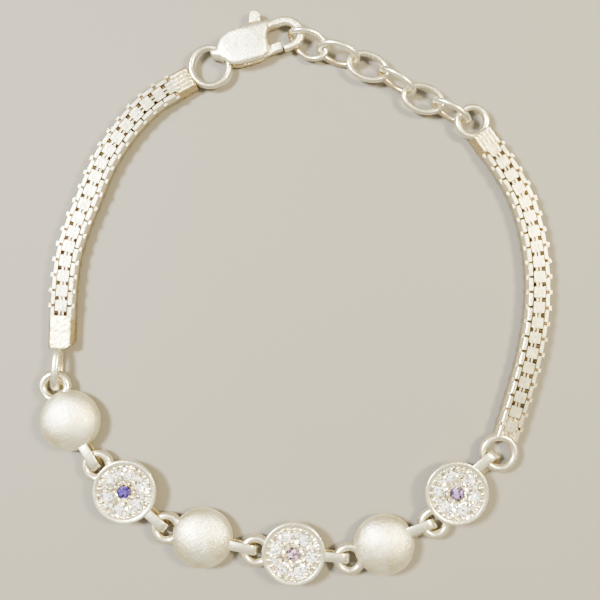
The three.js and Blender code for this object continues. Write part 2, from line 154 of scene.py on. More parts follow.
def band_stations(node, size):
    """Middle and direction of each wide plate of a band, in order from its bead end."""
    least = 0.9 * math.hypot(size.middle_width, size.middle_length) / 2
    middles = [middle for middle, reach in plate_centres(node, size.height) if reach > least]
    chain = [min(middles, key=lambda point: point.y)]
    rest = [point for point in middles if point is not chain[0]]
    while rest:
        nearest = min(rest, key=lambda point: (point - chain[-1]).length)
        chain.append(nearest)
        rest.remove(nearest)
    stations = []
    for i, point in enumerate(chain):
        along = (chain[min(i + 1, len(chain) - 1)] - chain[max(i - 1, 0)]).normalized()
        stations.append((flat(point), along))
    return stations


# ---------------------------------------------------------------- modelling

def choose(*objects):
    """Selects these objects alone, the first of them active."""
    bpy.ops.object.select_all(action="DESELECT")
    for obj in objects:
        obj.select_set(True)
    bpy.context.view_layer.objects.active = objects[0]


def named(obj, name):
    """Names an object and its mesh."""
    obj.name = name
    obj.data.name = name
    return obj


def fresh(name):
    """Names the object that was just added and puts its place into its mesh."""
    obj = named(bpy.context.object, name)
    choose(obj)
    bpy.ops.object.transform_apply(location=True, rotation=True, scale=True)
    return obj


@contextmanager
def editing(obj, kind, test):
    """Edit mode with the vertices, edges or polygons selected for which the test holds."""
    mesh = obj.data
    bpy.context.tool_settings.mesh_select_mode = (
        kind == "vertices", kind == "edges", kind == "polygons")
    for items in (mesh.vertices, mesh.edges, mesh.polygons):
        items.foreach_set("select", [False] * len(items))
    for item in getattr(mesh, kind):
        item.select = test(item)
    choose(obj)
    bpy.ops.object.mode_set(mode="EDIT")
    yield
    bpy.ops.object.mode_set(mode="OBJECT")


def scaled(value, about=(0, 0, 0)):
    """Scales what is selected in edit mode."""
    bpy.ops.transform.resize(value=value, center_override=about)


def extruded(move):
    """Extrudes what is selected in edit mode."""
    bpy.ops.mesh.extrude_region_move(TRANSFORM_OT_translate={"value": move})


def bevelled(offset):
    """Cuts the selected edges back to one flat face each."""
    bpy.ops.mesh.bevel(offset=offset, segments=1, affect="EDGES")


def modified(obj, kind, **settings):
    """Applies one modifier with these settings."""
    choose(obj)
    modifier = obj.modifiers.new(kind.title(), kind)
    for key, value in settings.items():
        setattr(modifier, key, value)
    bpy.ops.object.modifier_apply(modifier=modifier.name)
    return obj


def tidied(obj, distance=0.001 * MM):
    """Merges doubled corners and turns every face outwards."""
    with editing(obj, "vertices", lambda v: True):
        bpy.ops.mesh.remove_doubles(threshold=distance)
        bpy.ops.mesh.normals_make_consistent(inside=False)
    return obj


def smooth(obj, angle):
    """Smooth shading, with edges sharper than the angle left crisp."""
    choose(obj)
    bpy.ops.object.shade_smooth_by_angle(angle=math.radians(angle))
    return obj


def crisp(obj):
    """Flat shading, for cut metal whose faces show as facets."""
    choose(obj)
    bpy.ops.object.shade_flat()
    return obj


def copied(obj, name, matrix=None):
    """A copy with its own mesh, moved inside that mesh."""
    twin = obj.copy()
    twin.data = obj.data.copy()
    named(twin, name)
    bpy.context.scene.collection.objects.link(twin)
    if matrix is not None:
        twin.data.transform(matrix)
    return twin


def one_of(objects, name):
    """Joins objects into one."""
    choose(*objects)
    if len(objects) > 1:
        bpy.ops.object.join()
    return named(bpy.context.object, name)


def discarded(*objects):
    """Removes patterns that have been copied."""
    for obj in objects:
        bpy.data.objects.remove(obj)


def turned(name, profile, sides):
    """A solid of revolution about Z, extruded ring by ring through (radius, height) steps."""
    radius, height = profile[0]
    bpy.ops.mesh.primitive_circle_add(vertices=sides, radius=radius, fill_type="NGON",
                                      location=(0, 0, height))
    obj = fresh(name)
    with editing(obj, "polygons", lambda f: True):
        for wider, higher in profile[1:]:
            extruded((0, 0, higher - height))
            share = wider / radius
            scaled((share, share, 1), (0, 0, higher))
            radius, height = wider, higher
    return tidied(obj)


def block(name, low, high):
    """A box between two corners."""
    low, high = Vector(low), Vector(high)
    bpy.ops.mesh.primitive_cube_add(size=1, location=(low + high) / 2, scale=high - low)
    return fresh(name)


def softened(obj, width, segments=2, angle=30):
    """Rounds the edges."""
    return modified(obj, "BEVEL", width=width, segments=segments, limit_method="ANGLE",
                    angle_limit=math.radians(angle))


def hand_worked(obj, strength, size, angle):
    """Slight unevenness of hand-finished metal, its strength and size in mm, smoothly shaded."""
    texture = bpy.data.textures.new(obj.name + "_unevenness", "CLOUDS")
    texture.noise_scale = size * MM
    modified(obj, "DISPLACE", texture=texture, strength=strength * MM, mid_level=0.5,
             texture_coords="LOCAL")
    return smooth(obj, angle)


def turn_about_z(angle, place=(0, 0, 0)):
    """A turn about Z, then a move."""
    return Matrix.Translation(place) @ Matrix.Rotation(angle, 4, "Z")


def dressed(obj, key, body=BODY, replaces=()):
    """Gives a piece its finish, its body and what it stands for."""
    material, slot = finish(key)
    obj.data.materials.clear()
    obj.data.materials.append(material)
    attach(obj, body)
    if replaces:
        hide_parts(*replaces)
    return obj


# ---------------------------------------------------------------- shader groups and finishes

# A Mix node's float and colour sockets share their names, so they are told apart by index.
MIX_FACTOR, MIX_FLOATS, MIX_COLOURS = 0, (2, 3), (6, 7)
MIX_FLOAT_OUT, MIX_COLOUR_OUT = 0, 2

# Turn in degrees and stretch of each set of fine scratches.
SCRATCH_LIES = ((-55, 14), (-20, 10), (40, 16))

# Painted tones of a cut stone over its dark one, painted glints, painted reflections and painted shade
# of its facets, with the share of cells below each.
FACET_TONES = (("Warm", 0.12), ("Middle", 0.26), ("Light", 0.52))
FACET_EDGE = 0.04

# A tone is a colour or the name of a colour property. The depth is in mm, and a painted shade holds its
# colour and the heights in mm over which it fades out and under which it is full: painted shade, with a
# warm painted reflection, on the lower parts of a piece.
Silver = namedtuple(
    "Silver", "name slot bright dull patch scratch smoothest roughest depth tarnish grain",
    defaults=(None, 0.3))
# Each row's last colour and heights paint shade, with a warm painted reflection, onto the lower parts
# of a piece.
SILVERS = {
    "polished": Silver("polished silver", "silver_bright", "silver", "silver_dull", 600, 8000,
                       0.18, 0.36, 0.006, ((0.58, 0.46, 0.28), 2.0, 0.45)),
    "satin": Silver("satin silver", "silver_satin", "silver", (0.72, 0.63, 0.36), 420, 8000,
                    0.3, 0.48, 0.036, ((0.58, 0.52, 0.37), 2.4, 0.5), 0.2),
    "cast": Silver("cast satin silver", "silver_satin", "silver", (0.84, 0.79, 0.62), 500, 8000,
                   0.22, 0.42, 0.026, ((0.55, 0.42, 0.23), 2.1, 0.5), 0.15),
    "prong": Silver("prong silver", "silver_bright", (0.985, 0.95, 0.78), (0.9, 0.78, 0.52),
                    1600, 8000, 0.14, 0.3, 0.004),
    "mesh": Silver("mesh silver", "silver_bright", (0.93, 0.89, 0.64), "silver_dull", 1500, 9000,
                   0.12, 0.29, 0.007, ((0.5, 0.42, 0.28), 1.98, 1.3)),
    "solder": Silver("solder-filled silver", "silver_bright", (0.9, 0.86, 0.6), (0.74, 0.58, 0.22),
                     600, 5200, 0.15, 0.34, 0.04, ((0.5, 0.4, 0.22), 2.04, 1.75), 0.4),
    # The core's dark browns are painted shade, with a warm painted reflection, in the band's holes.
    "core": Silver("tarnished core", "silver_bright", (0.3, 0.19, 0.09), (0.09, 0.045, 0.02),
                   2200, 6000, 0.45, 0.7, 0.02),
}

Stone = namedtuple("Stone", "name slot light middle warm dark scale tilt ior metallic",
                   defaults=(0.0,))
# A stone's lighter cells are painted glints, its warm cells painted reflections and its dark cells
# painted shade; on the pierced setting the dark cells paint shade round the prongs.
STONES = {
    "setting": Stone("pierced setting silver", "silver_bright", (0.97, 0.92, 0.72),
                     (0.86, 0.77, 0.55), (0.62, 0.52, 0.34), (0.36, 0.28, 0.18), 4200, 0.9, 1.62, 1.0),
    "clear": Stone("clear cut stone", "stone_pale", (0.84, 0.88, 0.93), (0.38, 0.4, 0.46),
                   (0.62, 0.5, 0.34), (0.12, 0.1, 0.08), 5200, 1.2, 1.9),
    "deep": Stone("deep violet stone", "stone_deep", "deep_stone", (0.035, 0.02, 0.15),
                  (0.012, 0.006, 0.07), (0.004, 0.002, 0.02), 2600, 1.2, 1.45),
    "pale": Stone("pale lavender stone", "stone_pale", "pale_stone", (0.2, 0.14, 0.22),
                  (0.1, 0.06, 0.11), (0.03, 0.015, 0.03), 3400, 1.3, 1.5),
    "mid": Stone("mid violet stone", "stone_mid", "mid_stone", (0.11, 0.07, 0.19),
                 (0.04, 0.02, 0.09), (0.01, 0.005, 0.03), 3400, 1.3, 1.45),
}
STONE_ROUGHNESS = 0.05
METAL_ROUGHNESS = 0.15

FINISHES = {}


def fed(tree, node, inputs):
    """Gives sockets of a node their values, or links them to another node's output."""
    for key, value in inputs.items():
        if isinstance(value, bpy.types.NodeSocket):
            tree.links.new(value, node.inputs[key])
        else:
            node.inputs[key].default_value = value
    return node


def placed(tree, kind, inputs=None, **settings):
    """A new node with its settings and its sockets fed."""
    node = tree.nodes.new(kind)
    for key, value in settings.items():
        setattr(node, key, value)
    return fed(tree, node, inputs or {})


def socketed(name, inputs, outputs):
    """An empty shader group; inputs maps each socket's name to its default."""
    tree = bpy.data.node_groups.new(name, "ShaderNodeTree")
    for label, default in inputs.items():
        kind = "NodeSocketFloat" if isinstance(default, float) else "NodeSocketColor"
        socket = tree.interface.new_socket(label, in_out="INPUT", socket_type=kind)
        socket.default_value = default
    for label in outputs:
        kind = "NodeSocketColor" if label == "Color" else "NodeSocketFloat"
        tree.interface.new_socket(label, in_out="OUTPUT", socket_type=kind)
    return tree, tree.nodes.new("NodeGroupInput").outputs, tree.nodes.new("NodeGroupOutput")


def object_place(tree):
    """Where a point lies on its object."""
    return placed(tree, "ShaderNodeTexCoord").outputs["Object"]


def noise(tree, where, **inputs):
    """Noise at a place."""
    return placed(tree, "ShaderNodeTexNoise", {"Vector": where, **inputs}).outputs["Fac"]


def maths(tree, operation, first, second):
    """One sum of two values."""
    return placed(tree, "ShaderNodeMath", {0: first, 1: second}, operation=operation).outputs[0]


def vector_maths(tree, operation, first, second):
    """One sum of two vectors, as the node's outputs."""
    return placed(tree, "ShaderNodeVectorMath", {0: first, 1: second}, operation=operation).outputs


def mixed(tree, factor, first, second):
    """A colour between two colours."""
    inputs = {MIX_FACTOR: factor, MIX_COLOURS[0]: first, MIX_COLOURS[1]: second}
    return placed(tree, "ShaderNodeMix", inputs, data_type="RGBA").outputs[MIX_COLOUR_OUT]


def ranged(tree, value, low=0.0, high=1.0, to_low=0.0, to_high=1.0):
    """A value mapped from one range to another and held inside it."""
    return placed(tree, "ShaderNodeMapRange", {
        "Value": value, "From Min": low, "From Max": high, "To Min": to_low, "To Max": to_high,
    }).outputs["Result"]


def bumped(tree, height, distance):
    """A normal tilted by a height."""
    return placed(tree, "ShaderNodeBump", {
        "Strength": 1.0, "Distance": distance, "Height": height}).outputs["Normal"]


def silver_wear_group():
    """Uneven tone, roughness and fine scratches of handled silver."""
    tree, given, sink = socketed("silver_wear", {
        "Bright": (0.95, 0.94, 0.91, 1), "Dull": (0.8, 0.77, 0.7, 1), "Patch Scale": 600.0,
        "Scratch Scale": 9000.0, "Smoothest": 0.15, "Roughest": 0.35, "Grain": 0.3,
    }, ("Color", "Roughness", "Height"))
    where = object_place(tree)
    patches = noise(tree, where, Scale=given["Patch Scale"], Detail=5.0, Roughness=0.6)
    tone = ranged(tree, patches, 0.38, 0.66)
    scratches = []
    for turn, stretch in SCRATCH_LIES:
        lie = placed(tree, "ShaderNodeMapping", {
            "Vector": where, "Rotation": (0, 0, math.radians(turn)), "Scale": (1, stretch, 1)},
            vector_type="TEXTURE")
        scratches.append(noise(tree, lie.outputs[0], Scale=given["Scratch Scale"], Detail=2.0))
    pair = maths(tree, "ADD", scratches[0], scratches[1])
    lines = ranged(tree, maths(tree, "ADD", pair, scratches[2]), 1.2, 1.8)
    grain = noise(tree, where, Scale=given["Scratch Scale"], Detail=4.0, Roughness=0.65)
    height = placed(tree, "ShaderNodeMix", {
        MIX_FACTOR: given["Grain"], MIX_FLOATS[0]: lines,
        MIX_FLOATS[1]: ranged(tree, grain, 0.25, 0.75)}).outputs[MIX_FLOAT_OUT]
    rough = ranged(tree, height, to_low=given["Smoothest"], to_high=given["Roughest"])
    share = ranged(tree, maths(tree, "MULTIPLY", tone, height), 0.05, 0.6)
    colour = mixed(tree, share, given["Bright"], given["Dull"])
    fed(tree, sink, {"Color": colour, "Roughness": rough, "Height": height})
    return tree


def low_painted_shade_group():
    """Darkens and warms what lies below a height: painted shade, with a warm painted reflection, on the
    lower parts of each piece.
    """
    tree, given, sink = socketed("low_tarnish", {
        "Color": (0.9, 0.9, 0.88, 1), "Tarnish": (0.35, 0.26, 0.18, 1),
        "Clean Above": 1.9 * MM, "Dark Below": 1.2 * MM}, ("Color",))
    height = placed(tree, "ShaderNodeSeparateXYZ", {0: object_place(tree)}).outputs["Z"]
    share = ranged(tree, height, given["Dark Below"], given["Clean Above"])
    fed(tree, sink, {"Color": mixed(tree, share, given["Tarnish"], given["Color"])})
    return tree


def painted_glint_group():
    """Painted glints and painted shade of a brilliant cut: small angular cells between four tones."""
    tree, given, sink = socketed("facet_play", {
        "Light": (1, 1, 1, 1), "Middle": (0.5, 0.5, 0.55, 1), "Warm": (0.75, 0.58, 0.36, 1),
        "Dark": (0.2, 0.16, 0.12, 1), "Facet Scale": 4500.0}, ("Color", "Height"))
    where = object_place(tree)
    cells = placed(tree, "ShaderNodeTexVoronoi", {
        "Vector": where, "Scale": given["Facet Scale"]}).outputs
    value = placed(tree, "ShaderNodeSeparateColor", {0: cells["Color"]}).outputs["Red"]
    colour = given["Dark"]
    for tone, start in FACET_TONES:
        colour = mixed(tree, ranged(tree, value, start, start + FACET_EDGE), colour, given[tone])
    across = vector_maths(tree, "SUBTRACT", where, cells["Position"])
    lean = vector_maths(tree, "SUBTRACT", cells["Color"], (0.5, 0.5, 0.5))
    slope = vector_maths(tree, "DOT_PRODUCT", across[0], lean[0])
    fed(tree, sink, {"Color": colour, "Height": slope["Value"]})
    return tree


def bare_material(name):
    """A new material, its tree and its shader."""
    material = bpy.data.materials.new(name)
    material.use_nodes = True
    return material, material.node_tree, material.node_tree.nodes["Principled BSDF"]


def toned(tone, colours):
    """The full colour of a tone."""
    return (*(getattr(colours, tone) if isinstance(tone, str) else tone), 1)


def silver(row, colours, groups):
    """A silver finish."""
    material, tree, shader = bare_material(row.name)
    wear = placed(tree, "ShaderNodeGroup", {
        "Bright": toned(row.bright, colours), "Dull": toned(row.dull, colours),
        "Patch Scale": row.patch, "Scratch Scale": row.scratch, "Smoothest": row.smoothest,
        "Roughest": row.roughest, "Grain": row.grain}, node_tree=groups["wear"]).outputs
    colour = wear["Color"]
    # Painted shade, with a warm painted reflection, darkens the lower parts of the piece.
    if row.tarnish:
        tint, unshaded_above, dark_below = row.tarnish
        colour = placed(tree, "ShaderNodeGroup", {
            "Color": colour, "Tarnish": (*tint, 1), "Clean Above": unshaded_above * MM,
            "Dark Below": dark_below * MM}, node_tree=groups["tarnish"]).outputs["Color"]
    fed(tree, shader, {
        "Metallic": 1.0, "Base Color": colour, "Roughness": wear["Roughness"],
        "Normal": bumped(tree, wear["Height"], row.depth * MM)})
    return material


def cut_stone(row, colours, groups):
    """A cut stone or pierced metal: gloss over painted glints, painted reflections and painted shade of
    broken facets.
    """
    material, tree, shader = bare_material(row.name)
    play = placed(tree, "ShaderNodeGroup", {
        "Light": toned(row.light, colours), "Middle": toned(row.middle, colours),
        "Warm": toned(row.warm, colours), "Dark": toned(row.dark, colours),
        "Facet Scale": row.scale}, node_tree=groups["facets"]).outputs
    fed(tree, shader, {
        "Roughness": STONE_ROUGHNESS + METAL_ROUGHNESS * row.metallic, "IOR": row.ior,
        "Metallic": row.metallic, "Base Color": play["Color"],
        "Normal": bumped(tree, play["Height"], row.tilt)})
    return material


def finish(key):
    """A finish's material and slot; all of them are made on first use."""
    if not FINISHES:
        colours = bpy.context.scene.bracelet_colours
        groups = {"wear": silver_wear_group(), "tarnish": low_painted_shade_group(),
                  "facets": painted_glint_group()}
        for make, rows in ((silver, SILVERS), (cut_stone, STONES)):
            for label, row in rows.items():
                FINISHES[label] = make(row, colours, groups), row.slot
    return FINISHES[key]


# ---------------------------------------------------------------- loops shared by beads and discs

# Where a ring loop's solder fillet starts, as a share of its radius, and how much it thickens.
FILLET_START = 0.55
FILLET_SWELL = 1.16
BEND_STEPS = 12


def strip_middle(size):
    """Height of a strip loop's middle, and the outer radius of its bend."""
    return (size.strip_low + size.strip_high) / 2, (size.strip_high - size.strip_low) / 2


def ring_loop_pattern(size):
    """The thick ring loop, standing off along +X, with a fillet of solder where it meets the body."""
    bpy.ops.mesh.primitive_torus_add(
        major_radius=size.loop_radius, minor_radius=(size.loop_wire + size.loop_swell) / 2,
        major_segments=48, minor_segments=16, location=(size.loop_offset, 0, size.loop_height))
    loop = fresh("ring_loop_pattern")
    root = size.loop_offset - FILLET_START * size.loop_radius
    with editing(loop, "vertices", lambda v: v.co.x < root):
        scaled((1, 1, FILLET_SWELL), (0, 0, size.loop_height))
    return hand_worked(loop, 0.05, 1.1, 60)


def strip_loop_pattern(size):
    """The flat strip bent to a loop in the XZ plane, reaching along +X."""
    half = size.strip_width / 2
    middle, outer = strip_middle(size)
    bend = size.strip_reach - outer
    inner = size.strip_high - size.strip_thickness
    loop = block("strip_loop_pattern", (size.strip_root, -half, inner), (bend, half, size.strip_high))
    with editing(loop, "polygons", lambda f: f.normal.x > 0.9):
        for _ in range(BEND_STEPS):
            bpy.ops.mesh.extrude_region()
            bpy.ops.transform.rotate(value=-math.pi / BEND_STEPS, orient_axis="Y", orient_type="GLOBAL",
                                     center_override=(bend, 0, middle))
        extruded((size.strip_root - bend, 0, 0))
    tidied(loop)
    softened(loop, 0.09 * MM, 2, 50)
    return hand_worked(loop, 0.03, 0.9, 50)


def loop_turns(node, centre, size):
    """Turns of a link's ring loop and strip loop, and the skew of the strip's lower leg."""
    ring_reach = size.loop_offset + size.loop_radius + size.loop_wire / 2
    points = [point - centre for point in cad_points(node)]
    outer = [p for p in points if p.xy.length > ring_reach - AT]
    strip = [p for p in outer if p.xy.length > ring_reach + 0.1 * MM]
    ring = [p for p in outer if p.xy.length < ring_reach + AT and abs(p.z - size.loop_height) < AT]
    strip_turn = heading(sum(map(flat, strip), Vector()))
    along = ray(strip_turn)
    side = UP.cross(along)
    ring = [p for p in ring if p.dot(along) < 0]
    ring_turn = heading(sum(map(flat, ring), Vector()))
    legs = [p for p in points if p.dot(along) > size.loop_offset and abs(p.dot(side)) < 1.3 * MM]
    upper = [p.dot(side) for p in legs if p.z > size.strip_high - AT]
    lower = [p.dot(side) for p in legs if p.z < size.strip_low + AT]
    skew = 0.0
    if upper and lower:
        skew = ((max(upper) + min(upper)) - (max(lower) + min(lower))) / 4
    return ring_turn, strip_turn, skew


def soldered_loops(name, node, centre, ring_pattern, strip_pattern, size):
    """The two loops of one link, turned to their places."""
    ring_turn, strip_turn, skew = loop_turns(node, centre, size)
    ring = copied(ring_pattern, name, turn_about_z(ring_turn, centre))
    middle, outer = strip_middle(size)
    lean = Matrix.Identity(4)
    lean[1][2] = skew / outer
    lean[1][3] = -skew * middle / outer
    strip = copied(strip_pattern, name + "_strip", turn_about_z(strip_turn, centre) @ lean)
    return one_of([ring, strip], name)


# ---------------------------------------------------------------- sizes and colours

def length(name, description, default):
    """A length property, its default in millimetres."""
    return bpy.props.FloatProperty(
        name=name, description=description, default=default * MM, unit="LENGTH", subtype="DISTANCE",
        precision=5)


def colour(name, description, default):
    """A colour property."""
    return bpy.props.FloatVectorProperty(
        name=name, description=description, default=default, subtype="COLOR", size=3, min=0, max=1)


class BraceletColours(bpy.types.PropertyGroup):
    """Colours of the silver and the stones."""

    silver: colour("Silver", "Clean silver", (0.985, 0.955, 0.765))
    silver_dull: colour("Dull silver", "Handled, slightly warm silver", (0.78, 0.72, 0.54))
    deep_stone: colour("Deep stone", "Middle stone of the first disc", (0.065, 0.04, 0.22))
    pale_stone: colour("Pale stone", "Middle stone of the second disc", (0.45, 0.35, 0.44))
    mid_stone: colour("Mid stone", "Middle stone of the third disc", (0.26, 0.185, 0.35))


class LoopSizes(bpy.types.PropertyGroup):
    """Sizes of the loops soldered to beads and discs."""

    loop_offset: length("Ring offset", "From the link's middle to the ring loop's middle", 4.32)
    loop_radius: length("Ring radius", "Radius of the ring loop's centre line", 1.4)
    loop_wire: length("Ring wire", "Thickness of the ring loop's wire", 0.92)
    loop_swell: length("Ring swell", "How much the finished wire is thicker", 0.14)
    loop_height: length("Ring height", "Height of the ring loop's middle", 1.2)
    strip_root: length("Strip root", "Where the strip leaves the link's body", 2.9)
    strip_reach: length("Strip reach", "From the link's middle to the strip's bend", 6.5)
    strip_width: length("Strip width", "Width of the strip", 1.1)
    strip_thickness: length("Strip thickness", "Thickness of the strip", 0.36)
    strip_low: length("Strip low", "Underside of the strip's lower leg", 0.2)
    strip_high: length("Strip high", "Top of the strip's upper leg", 2.2)


class BeadSizes(bpy.types.PropertyGroup):
    """Sizes of the puffed beads."""

    radius: length("Radius", "Widest radius of a bead", 3.5)
    wall_low: length("Wall foot", "Height where the wall starts", 1.15)
    wall_high: length("Wall top", "Height where the dome starts", 1.5)
    height: length("Height", "Height of the dome's top", 3.4)
    seam: length("Seam", "Step of the seam between wall and dome", 0.025)


class DiscSizes(bpy.types.PropertyGroup):
    """Sizes of the stone-set discs."""

    radius: length("Radius", "Outer radius of the rim", 3.63)
    base_radius: length("Base radius", "Radius of the flat base", 3.15)
    wall_height: length("Wall height", "Height where the wall is widest", 1.65)
    height: length("Height", "Height of the rim", 2.35)
    rim: length("Rim", "Width of the bright rim", 0.5)
    face_drop: length("Face drop", "How far the face lies under the rim", 0.14)
    table_top: length("Table height", "Height of the ring stones' tables in the frame", 2.3)
    prong_top: length("Prong height", "Height of the edge prongs in the frame", 2.26)
    seat_radius: length("Seat radius", "Radius of the middle stone's seat", 0.84)
    stone_radius: length("Middle stone", "Radius of the middle stone", 0.74)
    pave_radius: length("Ring stone", "Radius of a stone of the ring", 0.68)
    small_radius: length("Small stone", "Radius of a small stone between two ring stones", 0.3)
    edge_radius: length("Edge prong", "Radius of a prong's bead at the edge", 0.27)
    prong_radius: length("Prong", "Radius of a small prong's bead", 0.15)


class BandSizes(bpy.types.PropertyGroup):
    """Sizes of the box-mesh bands."""

    height: length("Height", "Height of the band", 2.0)
    width: length("Width", "Width of the band", 3.04)
    middle_width: length("Plate width", "Width of a middle plate", 1.3)
    middle_length: length("Plate length", "Length of a middle plate", 1.18)
    bar_inside: length("Bar inside", "Inner side of a thin bar", 0.08)
    bar_outside: length("Bar outside", "Outer side of a thin bar", 0.32)
    bar_length: length("Bar length", "Length of a thin bar", 0.66)
    corner_inside: length("Corner inside", "Inner edge of a corner plate", 0.74)
    plate_length: length("Drawn plate length", "Length of a middle plate with its bent ends", 1.25)
    corner_length: length("Corner length", "Length of a corner plate", 1.44)
    corner_top: length("Corner top", "Outer edge of a corner plate's flat top", 1.16)
    corner_fold: length("Corner fold", "Height over which a corner plate slopes down", 0.62)
    block_width: length("End width", "Width of the solder-filled ends", 2.96)
    bead_block: length("Bead end", "Length of the solder-filled end at the beads", 2.4)
    clasp_block: length("Clasp end", "Length of the solder-filled end at the clasp", 1.7)
    filling: length("Filling", "How far solder runs into the rows past a plate's middle", 0.6)
    sunk: length("Filled top", "How far the solder of half-filled rows lies under their plates", 0.5)
    sunk_width: length("Filled width", "Width of the solder between half-filled rows", 2.6)
    corner_cut: length("Corner cut", "Cut corner at the left band's bead end", 0.85)


class RingSizes(bpy.types.PropertyGroup):
    """Sizes of the rings and the eye soldered to the bands."""

    clasp_outer: length("Clasp ring", "Outer diameter of the clasp's ring", 5.15)
    clasp_wire: length("Clasp ring wire", "Wire of the clasp's ring", 0.78)
    chain_outer: length("Chain ring", "Outer diameter of the extension chain's ring", 4.15)
    chain_wire: length("Chain ring wire", "Wire of the chain's ring", 0.82)
    disc_outer: length("Disc ring", "Outer diameter of the ring at the last disc", 4.6)
    disc_wire: length("Disc ring wire", "Wire of the ring at the last disc", 0.98)
    eye_length: length("Eye length", "Length of the standing eye", 5.3)
    eye_height: length("Eye height", "Height of the standing eye", 2.7)
    eye_wire: length("Eye wire", "Thickness of the standing eye's flattened wire", 0.52)
    eye_width: length("Eye width", "Width of the standing eye's flattened wire", 0.94)
    link_wire: length("Link wire", "Wire of the extension links", 0.64)


class StageSizes(bpy.types.PropertyGroup):
    """Sizes of the floor and the camera's place."""

    floor: length("Floor", "Side of the floor", 900)
    camera_height: length("Camera height", "Height of the camera over the floor", 97)
    camera_x: length("Camera X", "Camera's place across the bracelet", 0.573)
    camera_y: length("Camera Y", "Camera's place towards the clasp", -0.362)
    lens: bpy.props.FloatProperty(name="Lens", description="Focal length in millimetres", default=49.9)
    floor_colour: colour("Floor colour", "Plain pale floor", (0.15, 0.139, 0.122))


SETTINGS = {
    "bracelet_colours": BraceletColours, "bracelet_loops": LoopSizes, "bracelet_beads": BeadSizes,
    "bracelet_discs": DiscSizes, "bracelet_bands": BandSizes, "bracelet_rings": RingSizes,
    "bracelet_stage": StageSizes,
}


# ---------------------------------------------------------------- operators

BEAD_SIDES = 72
FOOT_STEPS = 8
DOME_STEPS = 16
# Share of the quarter turn at which the dome's last ring closes, just short of its top.
DOME_END = 0.985


class MakeBeads(bpy.types.Operator):
    """Model the three puffed satin beads with their loops"""

    bl_idname = "bracelet.make_beads"
    bl_label = "Beads"

    def execute(self, context):
        size = context.scene.bracelet_beads
        loops = context.scene.bracelet_loops
        dome_radius = size.radius - size.seam
        profile = []
        for i in range(1, FOOT_STEPS + 1):
            turn = i / FOOT_STEPS * QUARTER_TURN
            profile.append((size.radius * math.sin(turn), size.wall_low * (1 - math.cos(turn))))
        profile += [(size.radius, size.wall_high - 0.04 * MM),
                    (size.radius - 0.4 * size.seam, size.wall_high),
                    (dome_radius - 0.02 * MM, size.wall_high - 0.02 * MM)]
        for i in range(1, DOME_STEPS + 1):
            turn = min(i / DOME_STEPS, DOME_END) * QUARTER_TURN
            profile.append((dome_radius * math.cos(turn),
                            size.wall_high + (size.height - size.wall_high) * math.sin(turn)))
        pattern = turned("bead_pattern", profile, BEAD_SIDES)
        hand_worked(pattern, 0.05, 2.4, 50)
        ring, strip = ring_loop_pattern(loops), strip_loop_pattern(loops)
        for number in (1, 2, 3):
            node = f"bead_link_{number}"
            top = farthest(cad_points(node), UP)
            centre = flat(top)
            bead = copied(pattern, f"bead_{number}", turn_about_z(2.1 * number, centre))
            dressed(bead, "satin", replaces=(node,))
            pair = soldered_loops(f"bead_{number}_loops", node, centre, ring, strip, loops)
            dressed(pair, "polished")
        discarded(pattern, ring, strip)
        return {"FINISHED"}


CUP_SIDES = 96
STONE_SIDES = 8
GIRDLE = 0.04 * MM
# Shares of a cut stone's radius: depth of its pavilion and width of its slanting facets. The foot
# is a share of its width.
PAVILION, FACET, FOOT = 0.55, 0.17, 0.2
# Shares of a prong's radius: where its bead is cut flat, and how flat it is pressed.
PRONG_CUT, PRONG_PRESS = 0.35, 0.85

RING_STONES = 6
SMALL_STONE_CIRCLE = 2.2
# Prongs of the gap between two ring stones, and of a ring stone towards the middle: turn aside in
# radians and distance from the disc's middle in mm.
GAP_PRONGS = ((0, 1.62), (-0.2, 2.3), (0.2, 2.3), (-0.11, 2.6), (0.11, 2.6))
INNER_PRONGS = ((-0.25, 1.13), (0.25, 1.13))
# How far over the face each kind is set.
STONE_LIFT, SMALL_STONE_LIFT, GAP_PRONG_LIFT, INNER_PRONG_LIFT = (
    0.03 * MM, 0.04 * MM, 0.07 * MM, 0.05 * MM)
# How far hand setting puts a stone or prong out of place, in mm, and out of true, in radians.
SET_SHIFT, SET_TILT = 0.02, 0.08


def stone_pattern(name, radius, table, crown):
    """A cut stone with its girdle at z = 0: table, crown facets, girdle and pavilion."""
    bpy.ops.mesh.primitive_cone_add(vertices=STONE_SIDES, radius1=radius, radius2=radius * table,
                                    depth=crown, location=(0, 0, crown / 2))
    stone = fresh(name)
    with editing(stone, "polygons", lambda f: f.normal.z < -0.9):
        for depth in (GIRDLE, PAVILION * radius):
            extruded((0, 0, -depth))
        scaled((FOOT, FOOT, 1), (0, 0, -PAVILION * radius))
    tidied(stone)

    def slants(edge):
        low, high = sorted(stone.data.vertices[i].co.z for i in edge.vertices)
        return low > -0.001 * MM and high - low > 0.5 * crown

    with editing(stone, "edges", slants):
        bevelled(FACET * radius)
    return tidied(stone)


def prong_pattern(radius):
    """A prong's bead: a small dome cut flat underneath."""
    bpy.ops.mesh.primitive_ico_sphere_add(subdivisions=2, radius=radius, location=(0, 0, 0))
    prong = fresh("prong_pattern")
    with editing(prong, "vertices", lambda v: True):
        bpy.ops.mesh.bisect(plane_co=(0, 0, -PRONG_CUT * radius), plane_no=(0, 0, 1), use_fill=True,
                            clear_inner=True)
    with editing(prong, "vertices", lambda v: True):
        scaled((1, 1, PRONG_PRESS))
    return smooth(tidied(prong), 60)


def set_on(pattern, centre, turn, circle, height):
    """A copy set at a turn and a distance from a disc's middle, slightly out of true."""
    spot = centre + ray(turn) * circle
    spot += Vector((random.uniform(-1, 1), random.uniform(-1, 1), 0)) * SET_SHIFT * MM
    spot.z = height
    tilt = Matrix.Rotation(random.uniform(-SET_TILT, SET_TILT), 4, "X")
    tilt @= Matrix.Rotation(random.uniform(-SET_TILT, SET_TILT), 4, "Y")
    return copied(pattern, "set_piece", turn_about_z(random.uniform(0, 1), spot) @ tilt)


